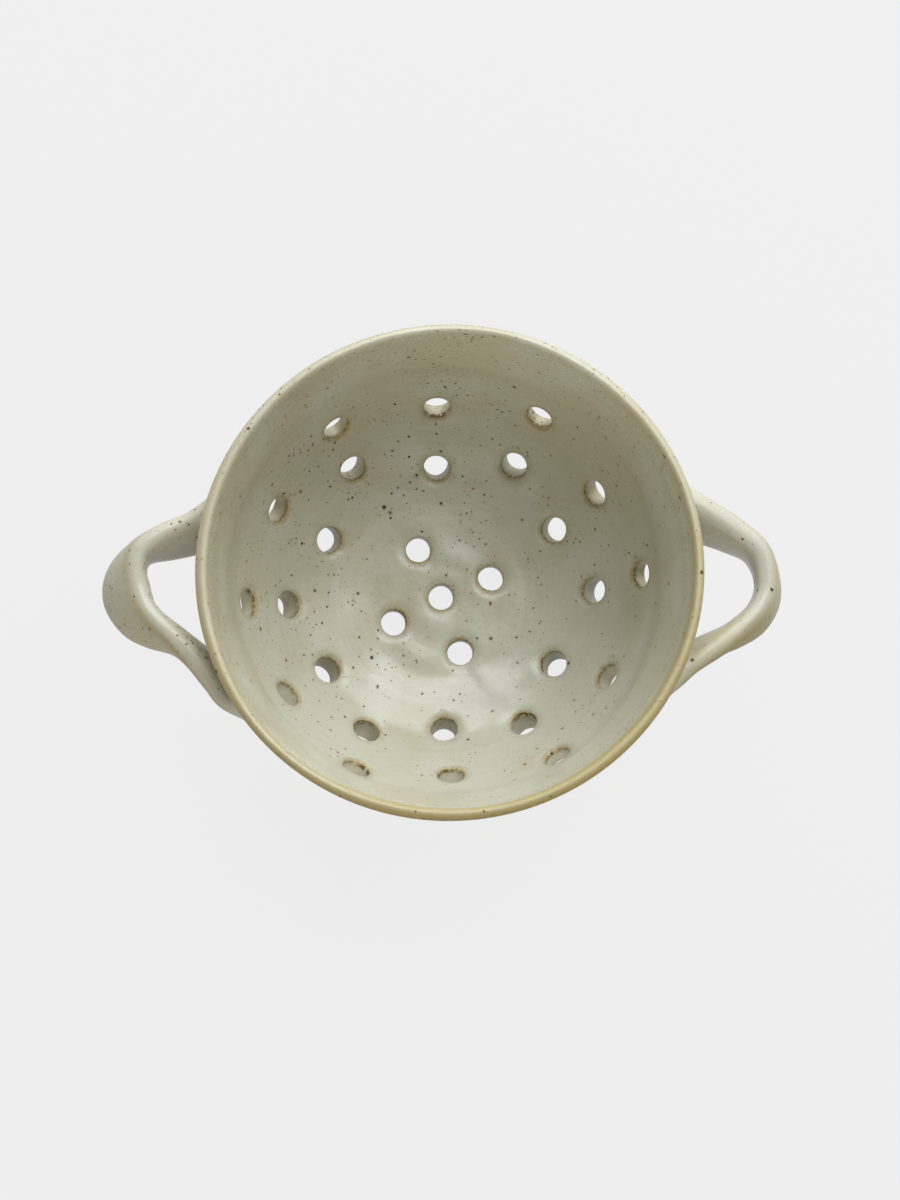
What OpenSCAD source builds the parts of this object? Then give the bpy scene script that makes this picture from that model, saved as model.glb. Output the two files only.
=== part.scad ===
/* [Bowl] */
// Diameter across the outside of the rim
rim_d = 160; // [140:1:190]
// Height from the table to the top of the rim
bowl_h = 89; // [80:1:110]
// Thickness of the lip at the rim
rim_t = 4; // [3:0.5:5]
// Thickness of the wall where it turns upright above the haunch
side_t = 6; // [4:0.5:8]
// Thickness of the wall at the haunch, where the side turns into the floor
haunch_t = 10.5; // [6:0.5:11.5]
// Thickness of the floor at its middle
floor_t = 7; // [5:0.5:9]

/* [Foot] */
// Diameter across the outside of the foot ring at the table
foot_d = 68; // [62:1:72]
// Width of the foot ring just above the table
foot_w = 4; // [3:0.5:6]
// Height of the floor's underside above the table
foot_h = 5; // [4:0.5:8]

/* [Drain holes] */
// Diameter of each punched hole
hole_d = 9.5; // [7:0.5:11]

/* [Handles] */
// How far the middle of the right strap stands out beyond the rim at its tip
handle_reach = 27; // [22:1:36]
// Width of the strap, from its top edge to its bottom edge
strap_w = 23; // [18:1:27]
// Thickness of the strap
strap_t = 8.5; // [6:0.5:10]
// Radius of the fillet where the strap spreads on to the wall
root_fillet = 4; // [3:0.5:8]

/* [Joints] */
// Thickness of the slip that lutes the foot and the handles to the bowl
slip_t = 0.4; // [0.3:0.1:1]

/* [Hidden] */

// Heights and radii of the bowl that follow from the sizes above
rim_r = rim_d / 2;
lip_r = rim_t / 2;
inner_top_r = rim_r - rim_t;
inner_top_z = bowl_h - lip_r;
inner_floor_z = foot_h + floor_t;
inner_depth = inner_top_z - inner_floor_z;

// Steps up the belly curve, crowded towards the floor, and steps round the lip
belly_steps = 26;
belly_crowding = 1.35;
lip_steps = 8;

// Sides of the round solids
round_fn = 96;
hole_fn = 32;

// Overrun of every cut past the face that it leaves
cut_over = 2;

// How far up the inner depth the wall has its haunch thickness and its side thickness
haunch_share = 0.08;
side_share = 0.38;

// The inner face is a fourth-power curve: nearly flat on the floor, nearly upright at the rim.
// Its angle runs from 0 at the middle of the floor to 90 at the rim.
function inner_point(a) = [inner_top_r * sqrt(sin(a)), inner_top_z - inner_depth * cos(a)];
function angle_at(radius_share) = asin(pow(radius_share, 2));

// Unit normal of that curve, pointing out of the bowl
function outward(a) =
    let (run = inner_top_r * cos(a), rise = 2 * sqrt(sin(a)) * inner_depth * sin(a))
    [rise, -run] / norm([rise, run]);

function ease(u) = (1 - cos(180 * u)) / 2;
function part_way(lo, hi, x) = ease(max(0, min(1, (x - lo) / (hi - lo))));

// Wall thickness at that angle, easing from the floor to the haunch, the side and the rim
function wall_at(a) =
    let (up = 1 - cos(a))
    floor_t + (haunch_t - floor_t) * part_way(0, haunch_share, up)
        + (side_t - haunch_t) * part_way(haunch_share, side_share, up)
        + (rim_t - side_t) * part_way(side_share, 1, up);

function outer_point(a, grow = 0) = inner_point(a) + (wall_at(a) + grow) * outward(a);

// Outer outline, as [radius, height], from the middle of the floor up to the rim
belly_angles = [for (i = [0 : belly_steps]) 90 * pow(i / belly_steps, belly_crowding)];
function outer_line(grow = 0) = [for (a = belly_angles) outer_point(a, grow)];

// Radius of the outside of the wall at a height, for the places where a strap meets it
wall_line = [for (i = [1 : belly_steps]) let (p = outer_point(belly_angles[i])) [p[1], p[0]]];
function wall_r(z) = lookup(z, wall_line);

// The outside of the bowl as one closed solid, grown outwards by a layer
module bowl_blank(grow = 0) {
    rotate_extrude($fn = round_fn)
        polygon(concat([[0, bowl_h]], outer_line(grow), [[rim_r + grow, bowl_h]]));
}

// The thrown shell: outer outline, rounded lip, inner outline
module bowl_shell() {
    lip = [for (i = [1 : lip_steps - 1])
               [inner_top_r + lip_r + lip_r * cos(180 * i / lip_steps),
                inner_top_z + lip_r * sin(180 * i / lip_steps)]];
    inner = [for (i = [belly_steps : -1 : 0]) inner_point(belly_angles[i])];
    rotate_extrude($fn = round_fn) polygon(concat(outer_line(), lip, inner));
}

// The drain holes: one near the middle, four about it, then twelve columns of two round the side,
// every other column lower. Each is [turn round the bowl in degrees, radius as a share of the inner radius
// at the rim].
middle_hole_shares = [[75, 0.01]];
floor_hole_shares = [[114, 0.265], [23, 0.265], [-70, 0.275], [-153, 0.255]];
low_hole_shares = [[92, 0.625], [31, 0.63], [-31, 0.62], [-89, 0.625], [-147, 0.64], [153, 0.60]];
mid_hole_shares = [[125, 0.73], [61, 0.715], [2, 0.715], [-58, 0.715], [-119, 0.725], [-176, 0.72]];
high_hole_shares = [[92, 0.855], [33, 0.845], [-28, 0.845], [-88, 0.845], [-146, 0.845], [154, 0.845]];
top_hole_shares = [[124, 0.89], [61, 0.90], [4, 0.895], [-57, 0.90], [-116, 0.90], [-175, 0.885]];
hole_shares = concat(middle_hole_shares, floor_hole_shares, low_hole_shares, mid_hole_shares,
                     high_hole_shares, top_hole_shares);

// A hole punched square to the wall, from inside the bowl to outside it
module drain_hole(turn, radius_share) {
    a = angle_at(radius_share);
    n = outward(a);
    start = inner_point(a) - cut_over * n;
    rotate([0, 0, turn]) translate([start[0], 0, start[1]])
        rotate([0, 180 - atan2(n[0], -n[1]), 0])
            cylinder(d = hole_d, h = wall_at(a) + 2 * cut_over, $fn = hole_fn);
}

module bowl_body() {
    color("#b9b7a0") difference() {
        bowl_shell();
        for (hole = hole_shares) drain_hole(hole[0], hole[1]);
    }
}

// The foot before it is fitted: a turned ring with eased edges, wider where it meets the bowl
foot_flare = foot_w / 2;
foot_edge = foot_w / 8;
foot_top = foot_h + haunch_t;
module foot_blank() {
    out_r = foot_d / 2;
    in_r = out_r - foot_w;
    rotate_extrude($fn = round_fn)
        polygon([[in_r + foot_edge, 0], [out_r - foot_edge, 0], [out_r, foot_edge],
                 [out_r + foot_flare, foot_top], [in_r - foot_flare, foot_top], [in_r, foot_edge]]);
}

module foot_ring() {
    color("#a7a48c") difference() {
        foot_blank();
        bowl_blank(slip_t);
    }
}

// The layer of slip between a piece's blank and the bowl
module slip_under() {
    color("#8c8a75") difference() {
        intersection() {
            children();
            bowl_blank(slip_t);
        }
        bowl_blank();
    }
}

module foot_slip() slip_under() foot_blank();

// Each strap is swept through these stations, from its rear root to its front root:
// [turn from the handle's middle in degrees, distance of the strap's middle outside the rim as a share of
// the reach, its depth below the rim as a share of the strap's width, lean of the strap in degrees with the
// lower edge outwards, width share, thickness share]
right_strap_shares = [
    [22.4, -0.20, 1.10, -14, 1.20, 1.20], [ 17,  0.01, 1.10, -13, 1.14, 1.20],
    [12.6,  0.27, 1.09, -11, 1.06, 1.20], [8.5,  0.60, 1.09,  -1, 1.00, 1.17],
    [4.4,  0.89, 1.08,  11, 0.98, 1.08], [ -2,  1.00, 1.08,  20, 0.98, 1.02],
    [ -7,  0.90, 1.08,  18, 1.00, 1.02], [-11,  0.66, 1.09,   8, 1.02, 1.04],
    [-15,  0.36, 1.10,  -6, 1.06, 1.02], [-20,  0.11, 1.12, -10, 1.12, 0.96],
    [-26, -0.04, 1.14, -10, 1.14, 0.90], [-34, -0.20, 1.16,  -8, 1.10, 0.80]];
left_strap_shares = [
    [ 17, -0.24, 1.12, -18, 1.18, 1.15], [12.4, -0.01, 1.12, -18, 1.12, 1.02],
    [9.2,  0.21, 1.10, -16, 1.06, 0.88], [ 6.6,  0.51, 1.08,  -8, 1.05, 1.00],
    [4.2,  0.78, 1.08,  11, 1.09, 1.14], [ 0.8,  0.92, 1.08,  27, 1.11, 1.18],
    [ -3,  0.94, 1.08,  35, 1.12, 1.15], [  -7,  0.84, 1.08,  31, 1.10, 1.08],
    [-10,  0.68, 1.08,  21, 1.08, 1.02], [-14,  0.39, 1.10,   4, 1.06, 1.04],
    [-19,  0.19, 1.12,  -5, 1.07, 1.02], [-25,  0.09, 1.13,  -8, 1.05, 0.92],
    [-30,  0.03, 1.14, -10, 1.00, 0.84], [-37, -0.20, 1.14, -10, 0.92, 0.74]];

// A smooth curve through a table's rows: row i, part t of the way to the next
function row(list, i) = list[max(0, min(len(list) - 1, i))];
function through(list, i, t) =
    let (a = row(list, i - 1), b = row(list, i), c = row(list, i + 1), d = row(list, i + 2))
    (2 * b + (c - a) * t + (2 * a - 5 * b + 4 * c - d) * pow(t, 2)
        + (3 * b - a - 3 * c + d) * pow(t, 3)) / 2;

strap_steps = 4;
strap_sides = 24;
function strap_rows(shares) = concat(
    [for (i = [0 : len(shares) - 2], s = [0 : strap_steps - 1]) through(shares, i, s / strap_steps)],
    [row(shares, len(shares) - 1)]);

// Middle of the strap at a row
function strap_middle(r) =
    let (out = rim_r + r[1] * handle_reach)
    [out * cos(r[0]), out * sin(r[0]), bowl_h - r[2] * strap_w];

// The strap's section is a rounded flat: flatter-sided than an ellipse, by this power
strap_power = 2.6;
function rounded(x) = sign(x) * pow(abs(x), 2 / strap_power);
function unit(v) = v / norm(v);

// One ring of the strap, square to its path between the rows before and after, and leaning
function strap_ring(r, before, after) =
    let (mid = strap_middle(r), run = unit(strap_middle(after) - strap_middle(before)),
         up = unit([0, 0, 1] - run[2] * run), side = cross(run, up),
         wide = cos(r[3]) * up + sin(r[3]) * side, thick = cos(r[3]) * side - sin(r[3]) * up)
    [for (k = [0 : strap_sides - 1])
        let (w = rounded(cos(360 * k / strap_sides)), t = rounded(sin(360 * k / strap_sides)),
             p = mid + wide * w * r[4] * strap_w / 2 + thick * t * r[5] * strap_t / 2)
        p + spread(p, unit(wide * w * strap_t + thick * t * strap_w))];

// How far a point of the strap, facing along n, spreads along the wall: a fillet that starts one fillet
// radius out from the wall and stops a little short of lying flat on it
fillet_share = 0.85;
function spread(p, n) =
    let (out = norm([p[0], p[1]]), wall_n = [p[0], p[1], 0] / out, along = n - (n * wall_n) * wall_n,
         gap = max(0, out - wall_r(p[2])), fall = fillet_share * max(0, root_fillet - gap))
    along * (root_fillet - sqrt(pow(root_fillet, 2) - pow(fall, 2)));

module strap_blank(shares) {
    rows = strap_rows(shares);
    last = len(rows) - 1;
    rings = [for (i = [0 : last]) strap_ring(rows[i], row(rows, i - 1), row(rows, i + 1))];
    faces = [
        for (i = [0 : last - 1], k = [0 : strap_sides - 1])
            let (a = i * strap_sides, b = a + strap_sides, n = (k + 1) % strap_sides)
            each [[a + k, b + k, b + n], [a + k, b + n, a + n]],
        [for (k = [0 : strap_sides - 1]) k],
        [for (k = [strap_sides - 1 : -1 : 0]) last * strap_sides + k]];
    polyhedron([for (ring = rings) each ring], faces, convexity = 4);
}

module right_strap() strap_blank(right_strap_shares);
module left_strap() mirror([1, 0, 0]) strap_blank(left_strap_shares);

// A handle is its strap cut to sit on the slip
module handle_on_bowl() {
    color("#c2c0ab") difference() {
        children();
        bowl_blank(slip_t);
    }
}

module right_handle() handle_on_bowl() right_strap();
module right_handle_slip() slip_under() right_strap();
module left_handle() handle_on_bowl() left_strap();
module left_handle_slip() slip_under() left_strap();

bowl_body();
foot_ring();
foot_slip();
left_handle();
left_handle_slip();
right_handle();
right_handle_slip();
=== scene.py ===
# Berry colander bowl: a small stoneware bowl thrown on the wheel, with a trimmed foot ring, two pulled
# strap handles and punched drain holes, all under one speckled grey-green glaze.

import math

import bpy
import numpy as np
from mathutils import Matrix, Vector
from mathutils.geometry import delaunay_2d_cdt


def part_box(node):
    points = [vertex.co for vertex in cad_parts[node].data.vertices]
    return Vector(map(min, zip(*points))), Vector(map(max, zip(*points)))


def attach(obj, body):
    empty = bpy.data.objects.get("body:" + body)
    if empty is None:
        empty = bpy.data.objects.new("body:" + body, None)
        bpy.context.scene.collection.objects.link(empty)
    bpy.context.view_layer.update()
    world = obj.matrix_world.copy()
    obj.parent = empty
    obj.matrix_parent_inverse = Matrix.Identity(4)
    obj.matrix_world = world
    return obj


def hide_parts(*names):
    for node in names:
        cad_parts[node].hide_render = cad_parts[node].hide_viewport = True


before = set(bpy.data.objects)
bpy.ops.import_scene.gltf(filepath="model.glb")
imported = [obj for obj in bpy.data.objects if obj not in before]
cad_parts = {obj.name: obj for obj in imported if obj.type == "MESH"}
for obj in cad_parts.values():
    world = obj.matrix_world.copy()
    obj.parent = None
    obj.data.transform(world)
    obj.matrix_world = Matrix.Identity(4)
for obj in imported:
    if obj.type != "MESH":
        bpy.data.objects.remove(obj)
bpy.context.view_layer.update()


# The glaze
# A semi-gloss ash glaze fired over iron-bearing stoneware. It lies thick and grey-green on the open faces,
# breaks thin to olive and tan on every edge, and iron from the clay comes up through it as brown specks.
millimetres = 1000


def feed(tree, socket, value):
    """Feeds a socket from another node's output, or gives it a plain number or colour."""
    if isinstance(value, bpy.types.NodeSocket):
        tree.links.new(value, socket)
    else:
        socket.default_value = value


def add(tree, kind, settings=None, **sockets):
    """A shader node. A socket's value is a number, a colour or the output of another node."""
    made = tree.nodes.new(kind)
    for name, value in (settings or {}).items():
        setattr(made, name, value)
    for name, value in sockets.items():
        feed(tree, made.inputs[name.replace("_", " ")], value)
    return made


def reckon(tree, operation, *values, clamp=False):
    """A math node's output."""
    made = tree.nodes.new("ShaderNodeMath")
    made.operation = operation
    made.use_clamp = clamp
    for socket, value in zip(made.inputs, values):
        feed(tree, socket, value)
    return made.outputs[0]


def remap(tree, value, low, high, to_low=0.0, to_high=1.0):
    """A value carried smoothly from one range to another."""
    made = add(tree, "ShaderNodeMapRange", {"interpolation_type": "SMOOTHSTEP"}, Value=value,
               From_Min=low, From_Max=high, To_Min=to_low, To_Max=to_high)
    return made.outputs["Result"]


def blend_colour(tree, share, below, above):
    """Two colours mixed by a share."""
    made = tree.nodes.new("ShaderNodeMix")
    made.data_type = "RGBA"
    for socket, value in ((made.inputs[0], share), (made.inputs[6], below), (made.inputs[7], above)):
        feed(tree, socket, value)
    return made.outputs[2]


def cloud(tree, place, scale, detail=2.0, roughness=0.5):
    """A noise texture's value, at a number of features per millimetre."""
    made = add(tree, "ShaderNodeTexNoise", Vector=place, Scale=scale, Detail=detail, Roughness=roughness)
    return made.outputs[0]


def new_group(name, inputs, outputs):
    """An empty shader node group with its named sockets, and its input and output nodes."""
    tree = bpy.data.node_groups.new(name, "ShaderNodeTree")
    for socket_name, socket_type in inputs:
        tree.interface.new_socket(socket_name, in_out="INPUT", socket_type=socket_type)
    for socket_name, socket_type in outputs:
        tree.interface.new_socket(socket_name, in_out="OUTPUT", socket_type=socket_type)
    return tree, tree.nodes.new("NodeGroupInput").outputs, tree.nodes.new("NodeGroupOutput").inputs


def srgb(code):
    """A colour chip's hex code as the linear colour that a shader takes."""
    parts = [int(code[i:i + 2], 16) / 255 for i in (0, 2, 4)]
    return [p / 12.92 if p <= 0.04045 else ((p + 0.055) / 1.055) ** 2.4 for p in parts] + [1.0]


# Most specks are small, the soft rim of each is a share of its radius, and each is bent a little out of round
speck_growth = 1.7
speck_rim = 0.3
bend_scale = 1.6
bend_reach = 0.6


def iron_specks(tree, place, crowd, cell, fill, small, large):
    """Round iron specks: one in some of the cells, from a small to a large radius, in millimetres."""
    cells = add(tree, "ShaderNodeTexVoronoi", Vector=place, Scale=1 / cell)
    dice = add(tree, "ShaderNodeSeparateColor", Color=cells.outputs["Color"])
    present = reckon(tree, "LESS_THAN", dice.outputs[0], reckon(tree, "MULTIPLY", crowd, fill))
    grown = reckon(tree, "POWER", dice.outputs[1], speck_growth)
    radius = reckon(tree, "MULTIPLY_ADD", grown, (large - small) / cell, small / cell)
    inside = reckon(tree, "SUBTRACT", radius, cells.outputs["Distance"])
    speck = reckon(tree, "DIVIDE", inside, reckon(tree, "MULTIPLY", radius, speck_rim), clamp=True)
    across = reckon(tree, "MULTIPLY", radius, 2.0)
    halo = reckon(tree, "DIVIDE", reckon(tree, "ADD", inside, radius), across, clamp=True)
    return reckon(tree, "MULTIPLY", speck, present), reckon(tree, "MULTIPLY", halo, present), dice.outputs[2]


def true_place(tree):
    """The place on the piece, in millimetres."""
    where = add(tree, "ShaderNodeTexCoord").outputs["Object"]
    scaled = add(tree, "ShaderNodeVectorMath", {"operation": "SCALE"}, Vector=where, Scale=millimetres)
    return scaled.outputs[0]


def bent_place(tree, place):
    """The place moved a little, so that no speck there is quite round."""
    bend = add(tree, "ShaderNodeTexNoise", Vector=place, Scale=bend_scale, Detail=1.0).outputs["Color"]
    shift = add(tree, "ShaderNodeVectorMath", {"operation": "SCALE"}, Vector=bend, Scale=bend_reach)
    bent = tree.nodes.new("ShaderNodeVectorMath")
    tree.links.new(place, bent.inputs[0])
    tree.links.new(shift.outputs[0], bent.inputs[1])
    return bent.outputs[0]


# The larger specks spread a little past their own radius, and are softer at the rim
placed_rim = 0.45
placed_spread = 1.2


def placed_specks(name, spots):
    """The larger specks as a node group that gives their mask: each is a place and a radius in metres."""
    tree, _, out = new_group(name, [], [("Speck", "NodeSocketFloat")])
    bent = bent_place(tree, true_place(tree))
    mask = 0.0
    for spot, radius in spots:
        away = add(tree, "ShaderNodeVectorMath", {"operation": "DISTANCE"}, Vector=bent)
        away.inputs[1].default_value = [millimetres * n + bend_reach / 2 for n in spot]
        soft = placed_rim * millimetres * radius
        whole = placed_spread * millimetres * radius
        here = reckon(tree, "MULTIPLY_ADD", away.outputs["Value"], -1 / soft, whole / soft, clamp=True)
        mask = reckon(tree, "MAXIMUM", here, mask)
    tree.links.new(mask, out["Speck"])
    return tree


# The kiln's hotter side, and how far each millimetre towards it draws the glaze to its warmer colour
fired_way = (-0.5, 0.85, 0)
fired_pull = 0.0016

# Each layer of specks: the width of its cells, the share that it fills, its least and greatest radius in
# millimetres, and its strength
speck_layers = ((1.25, 0.26, 0.15, 0.32, 0.9), (2.3, 0.5, 0.3, 0.56, 1.0), (4.6, 0.22, 0.5, 0.9, 1.0))

# The specks lie a little flat, each in a faint rusty halo. Their colour runs from iron to mostly rust, and a
# stain is rust with some iron in it.
speck_squash = (1, 1, 1.35)
halo_strength = 0.26
most_rust = 0.8
stain_iron = 0.45

# The patterns in the glaze from the widest to the finest, as features per millimetre
drift_scale = 0.035
flock_scale = 0.06
ripple_scale = 0.3
ragged_scale = 0.42
line_scale = 0.45
stain_scale = 0.7
fine_scale = 1.3

# How far the fine mottle and the lines from the wheel lighten or darken the glaze, and how ragged an edge is
mottle_strength = 0.03
line_strength = 0.015
ragged_reach = 0.3

# The roughness of the open glaze from its glossiest to its dullest, and what a thin edge and a pit add
open_roughness = (0.18, 0.25)
edge_roughness = 0.45
pit_roughness = 0.3

# The relief in metres: soft ripples in the glaze, a fine grain, lines from the wheel and a pit at each speck
ripple_height = 0.00009
grain_height = 0.0000012
line_height = 0.000015
pit_depth = 0.00001


def speckled_glaze():
    """The glaze as a node group: colour, roughness and relief over any piece of the bowl."""
    tree, given, out = new_group(
        "speckled glaze",
        [("Glaze", "NodeSocketColor"), ("Cloud", "NodeSocketColor"), ("Thin", "NodeSocketColor"),
         ("Rust", "NodeSocketColor"), ("Iron", "NodeSocketColor"), ("Edge", "NodeSocketFloat"),
         ("Stain", "NodeSocketFloat"), ("Along", "NodeSocketFloat"), ("Crowd", "NodeSocketFloat"),
         ("Placed", "NodeSocketFloat")],
        [("Colour", "NodeSocketColor"), ("Roughness", "NodeSocketFloat"), ("Height", "NodeSocketFloat")])
    place = true_place(tree)

    fired = add(tree, "ShaderNodeVectorMath", {"operation": "DOT_PRODUCT"}, Vector=place)
    fired.inputs[1].default_value = fired_way
    slow = cloud(tree, place, drift_scale, 3.0)
    drift = reckon(tree, "MULTIPLY_ADD", fired.outputs["Value"], -fired_pull, slow)
    fine = cloud(tree, place, fine_scale, 4.0, 0.65)
    body = blend_colour(tree, remap(tree, drift, 0.34, 0.66), given["Glaze"], given["Cloud"])
    lines = add(tree, "ShaderNodeTexNoise", {"noise_dimensions": "1D"}, W=given["Along"], Scale=line_scale,
                Detail=3.0, Roughness=0.7).outputs[0]
    mottle = remap(tree, fine, 0.3, 0.7, -mottle_strength, mottle_strength)
    streaks = remap(tree, lines, 0.3, 0.7, -line_strength, line_strength)
    shade = reckon(tree, "ADD", mottle, streaks)
    toned = add(tree, "ShaderNodeHueSaturation", Color=body, Value=reckon(tree, "ADD", shade, 1.0)).outputs[0]

    # The edge and stain marks are thin glaze and stains, and partly painted shade on the outer lip and the
    # handles.
    ragged = reckon(tree, "SUBTRACT", cloud(tree, place, ragged_scale, 3.0, 0.6), 0.5)
    worn_and_shaded = reckon(tree, "MULTIPLY_ADD", ragged, ragged_reach, given["Edge"])
    thinned = blend_colour(tree, remap(tree, worn_and_shaded, 0.06, 0.95), toned, given["Thin"])
    patches = remap(tree, cloud(tree, place, stain_scale, 2.0), 0.38, 0.56)
    stained_and_shaded = reckon(tree, "MULTIPLY", given["Stain"], patches)
    edged = blend_colour(tree, stained_and_shaded, thinned, blend_colour(tree, stain_iron, given["Rust"], given["Iron"]))

    low_specks = add(tree, "ShaderNodeVectorMath", {"operation": "MULTIPLY"}, Vector=bent_place(tree, place))
    low_specks.inputs[1].default_value = speck_squash
    flocks = remap(tree, cloud(tree, place, flock_scale, 2.0), 0.36, 0.64, 0.3, 1.5)
    drawn = reckon(tree, "MULTIPLY", remap(tree, fired.outputs["Value"], -40, 60, 0.6, 1.6), given["Crowd"])
    crowd = reckon(tree, "MULTIPLY", flocks, drawn)
    colour = edged
    pits = given["Placed"]
    for cell, fill, small, large, depth in speck_layers:
        speck, halo, tone = iron_specks(tree, low_specks.outputs[0], crowd, cell, fill, small, large)
        colour = blend_colour(tree, reckon(tree, "MULTIPLY", halo, halo_strength), colour, given["Rust"])
        pigment = blend_colour(tree, reckon(tree, "MULTIPLY", tone, most_rust), given["Iron"], given["Rust"])
        colour = blend_colour(tree, reckon(tree, "MULTIPLY", speck, depth), colour, pigment)
        pits = reckon(tree, "ADD", speck, pits)
    colour = blend_colour(tree, given["Placed"], colour, given["Iron"])

    open_gloss = remap(tree, fine, 0.3, 0.7, *open_roughness)
    gloss = reckon(tree, "MULTIPLY_ADD", given["Edge"], edge_roughness, open_gloss)
    ripples = reckon(tree, "MULTIPLY", cloud(tree, place, ripple_scale, 1.0), ripple_height)
    grain = reckon(tree, "MULTIPLY_ADD", fine, grain_height, ripples)
    scored = reckon(tree, "MULTIPLY_ADD", lines, line_height, grain)
    tree.links.new(colour, out["Colour"])
    tree.links.new(reckon(tree, "MULTIPLY_ADD", pits, pit_roughness, gloss), out["Roughness"])
    tree.links.new(reckon(tree, "MULTIPLY_ADD", pits, -pit_depth, scored), out["Height"])
    return tree


glaze_group = speckled_glaze()
rust_colour = "84611a"
iron_colour = "452c05"
glaze_ior = 1.55


def glazed(name, glaze, cloudy, thin, crowd, spots=()):
    """A finish of the speckled glaze, with this piece's own colours, crowd of specks and larger specks."""
    finish = bpy.data.materials.new(name)
    finish.use_nodes = True
    tree = finish.node_tree
    shader = tree.nodes["Principled BSDF"]
    coat = tree.nodes.new("ShaderNodeGroup")
    coat.node_tree = glaze_group
    for socket, value in (("Glaze", glaze), ("Cloud", cloudy), ("Thin", thin), ("Rust", rust_colour),
                          ("Iron", iron_colour)):
        coat.inputs[socket].default_value = srgb(value)
    coat.inputs["Crowd"].default_value = crowd
    if spots:
        larger = tree.nodes.new("ShaderNodeGroup")
        larger.node_tree = placed_specks(name + " specks", spots)
        tree.links.new(larger.outputs["Speck"], coat.inputs["Placed"])
    for socket, attribute in (("Edge", "edge"), ("Stain", "stain"), ("Along", "along")):
        tree.links.new(add(tree, "ShaderNodeAttribute", {"attribute_name": attribute}).outputs["Fac"],
                       coat.inputs[socket])
    relief = add(tree, "ShaderNodeBump", Strength=1.0, Distance=1.0, Height=coat.outputs["Height"])
    tree.links.new(coat.outputs["Colour"], shader.inputs["Base Color"])
    tree.links.new(coat.outputs["Roughness"], shader.inputs["Roughness"])
    tree.links.new(relief.outputs["Normal"], shader.inputs["Normal"])
    shader.inputs["IOR"].default_value = glaze_ior
    return finish


# The bowl
# One lump of speckled stoneware thrown on the wheel, trimmed when leather hard. The potter's fingers leave a
# slow spiral inside, and the drain holes are punched from inside to outside, square to the wall.
bowl_low, bowl_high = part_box("bowl_body")
rim_radius = (bowl_high.x - bowl_low.x) / 2
rim_height = bowl_high.z
floor_underside = bowl_low.z
rim_thickness = 0.004
side_thickness = 0.006
haunch_thickness = 0.0105
floor_thickness = 0.007
haunch_share = 0.08
side_share = 0.38
lip_radius = rim_thickness / 2
inner_radius = rim_radius - rim_thickness
inner_top = rim_height - lip_radius
inner_depth = inner_top - floor_underside - floor_thickness


def inner_curve(rise):
    """Radius and height of the inside. The rise runs from 0 at the middle to a right angle at the rim."""
    return inner_radius * np.sqrt(np.sin(rise)), inner_top - inner_depth * np.cos(rise)


def outward(rise):
    """The direction square to the inside and out through the wall, as a radius and a height."""
    run = inner_radius * np.cos(rise)
    climb = 2 * np.sqrt(np.sin(rise)) * inner_depth * np.sin(rise)
    length = np.hypot(run, climb)
    return climb / length, -run / length


def ease(value, low, high):
    """0 below the low value and 1 above the high one, with a smooth way between."""
    return (1 - np.cos(np.pi * np.clip((value - low) / (high - low), 0, 1))) / 2


def wall_thickness(rise):
    """The wall is thickest at the haunch, where the side turns into the floor."""
    up = 1 - np.cos(rise)
    return (floor_thickness + (haunch_thickness - floor_thickness) * ease(up, 0, haunch_share)
            + (side_thickness - haunch_thickness) * ease(up, haunch_share, side_share)
            + (rim_thickness - side_thickness) * ease(up, side_share, 1))


# The wall is laid out flat as a disc, where a place's distance from the middle is its distance up the curve
curve_steps = np.linspace(0, 1, 1201)
curve_radii, curve_heights = inner_curve(np.pi / 2 * curve_steps ** 2)
curve_lengths = np.append(0, np.cumsum(np.hypot(np.diff(curve_radii), np.diff(curve_heights))))
wall_length = curve_lengths[-1]


def rise_at(length):
    """The rise at a distance up the curve."""
    return np.pi / 2 * np.interp(length, curve_lengths, curve_steps) ** 2


def length_at(rise):
    """The distance up the curve at a rise."""
    return np.interp(math.sqrt(rise * 2 / math.pi), curve_steps, curve_lengths)


# A punched hole is a little oval and a little three-sided, and its edge is rounded
hole_radius = 0.00465
hole_edge = 0.0009
hole_oval = 0.018
hole_three_sided = 0.01

# The drain holes, each as its turn round the bowl in degrees and its radius as a share of the inner radius
hole_shares = [
    (75, 0.01), (114, 0.265), (23, 0.265), (-70, 0.275), (-153, 0.255),
    (92, 0.625), (31, 0.63), (-31, 0.62), (-89, 0.625), (-147, 0.64), (153, 0.60),
    (125, 0.73), (61, 0.715), (2, 0.715), (-58, 0.715), (-119, 0.725), (-176, 0.72),
    (92, 0.855), (33, 0.845), (-28, 0.845), (-88, 0.845), (-146, 0.845), (154, 0.845),
    (124, 0.89), (61, 0.90), (4, 0.895), (-57, 0.90), (-116, 0.90), (-175, 0.885)]


def punch(turn_degrees, radius_share):
    """Where a hole goes through the wall: its middle on the inside, its axis and two directions across it."""
    turn = math.radians(turn_degrees)
    rise = math.asin(radius_share ** 2)
    radius, height = inner_curve(rise)
    out, up = outward(rise)
    c, s = math.cos(turn), math.sin(turn)
    return {"middle": np.array([radius * c, radius * s, height]), "axis": np.array([out * c, out * s, up]),
            "across": np.array([[-up * c, -up * s, out], [-s, c, 0]]).T,
            "flat": length_at(rise) * np.array([c, s]), "heading": np.array([[c, s], [-s, c]]),
            "stretch": np.array([1, length_at(rise) / radius])}


holes = [punch(turn, share) for turn, share in hole_shares]

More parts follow.
